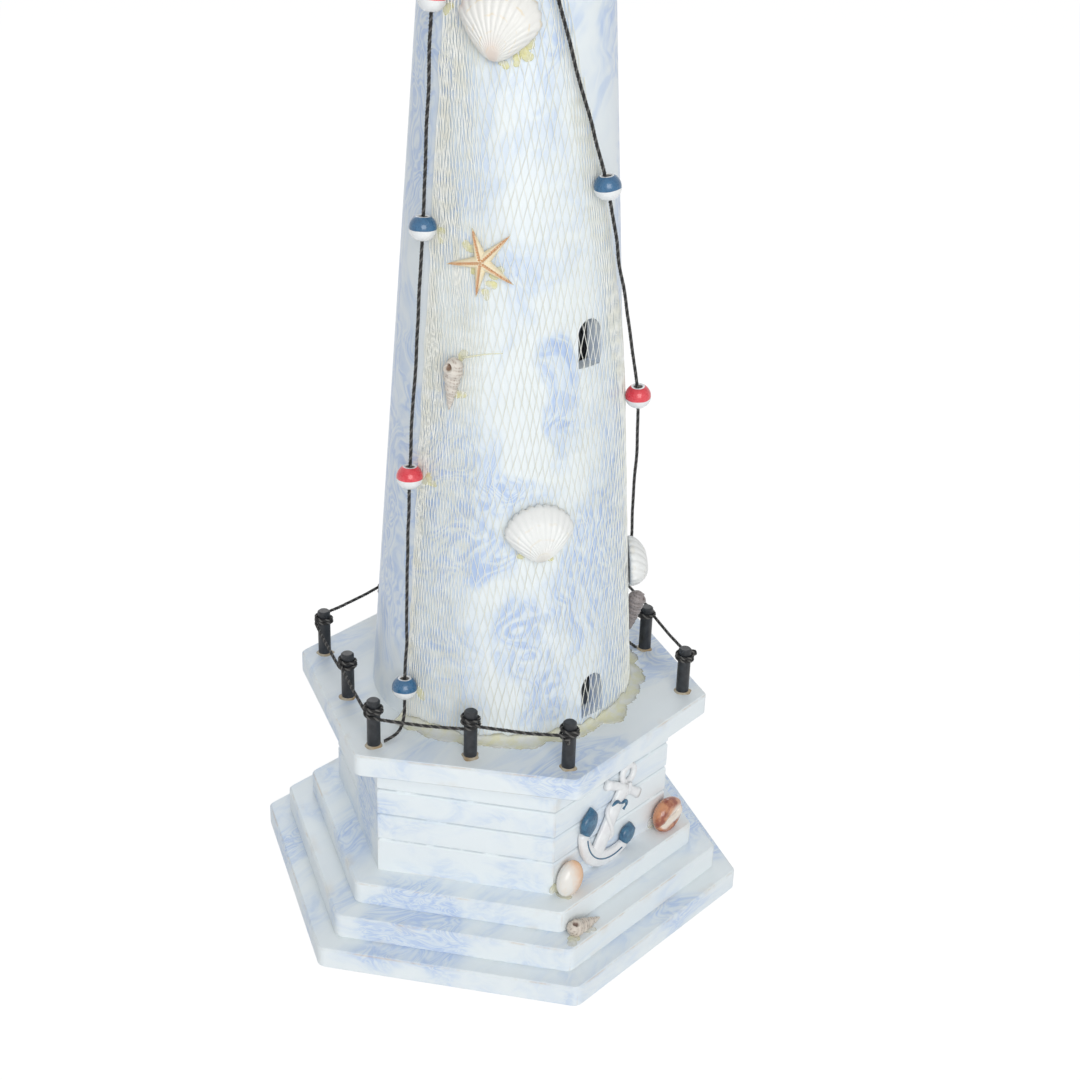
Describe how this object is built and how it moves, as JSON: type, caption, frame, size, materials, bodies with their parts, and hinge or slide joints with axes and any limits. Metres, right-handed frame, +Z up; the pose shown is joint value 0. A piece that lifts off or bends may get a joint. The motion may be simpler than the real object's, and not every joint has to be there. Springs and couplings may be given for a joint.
{
  "type": "garden lighthouse ornament",
  "caption": "Hexagonal wooden lighthouse on stepped boards, with a roped deck railing, net and shells, a bead garland, and a lantern with lift-off roof and a small battery light.",
  "frame": {"origin": "centre of the underside of the lowest board, on the surface it stands on", "axes": "+Z up the tower; -Y towards the side with the anchor, a flat of the hexagon; +X to that side's right"},
  "size_m": [0.1988, 0.1732, 0.572],
  "materials": {
    "whitewashed_board": "white wash brushed thinly over sanded board, orange-brown wood at worn edges",
    "blue_washed_planks": "white and pale blue wash brushed along the planks",
    "marbled_tower": "satin white paint marbled with soft blue swirls",
    "black_dowel": "matt black paint",
    "black_cord": "waxed twisted cord",
    "net_string": "fine knotted cotton",
    "dried_glue": "pale dried craft glue, slightly glossy",
    "bead_red": "gloss paint, lower half white",
    "bead_blue": "gloss paint, lower half white",
    "shell_pale": "chalky ribbed shell, off-white",
    "shell_spotted": "glossy cream shell with brown dotted bands",
    "shell_brown": "polished red-brown shell",
    "shell_orange": "smooth shell, white fading to orange",
    "starfish_skin": "dry grainy skin, cream with orange-brown along the arms",
    "anchor_resin": "cast resin, white with blue painted details",
    "roof_paint": "blue paint brushed thin, white showing through",
    "lantern_glazing": "clear sheet rolled inside the frame",
    "light_case": "ivory moulded plastic",
    "light_diffuser": "milky moulded plastic",
    "cell_steel": "plain steel can",
    "lamp_lens": "warm clear resin",
    "switch_black": "black moulded plastic"
  },
  "bodies": {
    "lighthouse": {"base_board_lower": "whitewashed_board", "base_board_middle": "whitewashed_board", "base_board_upper": "whitewashed_board", "deck_board": "whitewashed_board", "gallery_board": "whitewashed_board", "lantern_frame": "whitewashed_board", "plinth": "blue_washed_planks", "tower": "marbled_tower", "fishing_net": "net_string", "glue_hem": "dried_glue", "deck_post_01": "black_dowel", "deck_post_02": "black_dowel", "deck_post_03": "black_dowel", "deck_post_04": "black_dowel", "deck_post_05": "black_dowel", "deck_post_06": "black_dowel", "deck_post_07": "black_dowel", "deck_post_08": "black_dowel", "deck_post_09": "black_dowel", "deck_post_10": "black_dowel", "deck_post_11": "black_dowel", "gallery_post_01": "black_dowel", "gallery_post_02": "black_dowel", "gallery_post_03": "black_dowel", "gallery_post_04": "black_dowel", "gallery_post_05": "black_dowel", "gallery_post_06": "black_dowel", "deck_cord": "black_cord", "gallery_cord": "black_cord", "neck_cord": "black_cord", "garland_cord_left": "black_cord", "garland_cord_right": "black_cord", "bead_left_1": "bead_red", "bead_left_2": "bead_blue", "bead_left_3": "bead_red", "bead_left_4": "bead_blue", "bead_right_1": "bead_red", "bead_right_2": "bead_blue", "bead_right_3": "bead_red", "bead_right_4": "bead_blue", "cockle_upper": "shell_pale", "cockle_middle": "shell_pale", "cockle_side": "shell_pale", "starfish": "starfish_skin", "cerith_shell": "shell_spotted", "turret_shell": "shell_spotted", "step_shell": "shell_spotted", "anchor": "anchor_resin", "cowrie": "shell_brown", "corner_shell": "shell_orange", "lantern_glazing": "lantern_glazing", "light_base": "light_case", "light_cover": "light_case", "light_cell": "cell_steel", "light_lamp": "lamp_lens", "light_dome": "light_diffuser"},
    "roof": {"roof_board": "whitewashed_board", "roof_cap": "roof_paint", "finial": "bead_red"},
    "switch": {"light_switch": "switch_black"}
  },
  "joints": [
    {"name": "roof_lift", "type": "slide", "parent": "lighthouse", "child": "roof", "axis": [0, 0, 1], "range_m": [0, 0.05]},
    {"name": "switch_slide", "type": "slide", "parent": "lighthouse", "child": "switch", "axis": [1, 0, 0], "range_m": [0, 0.004]}
  ]
}
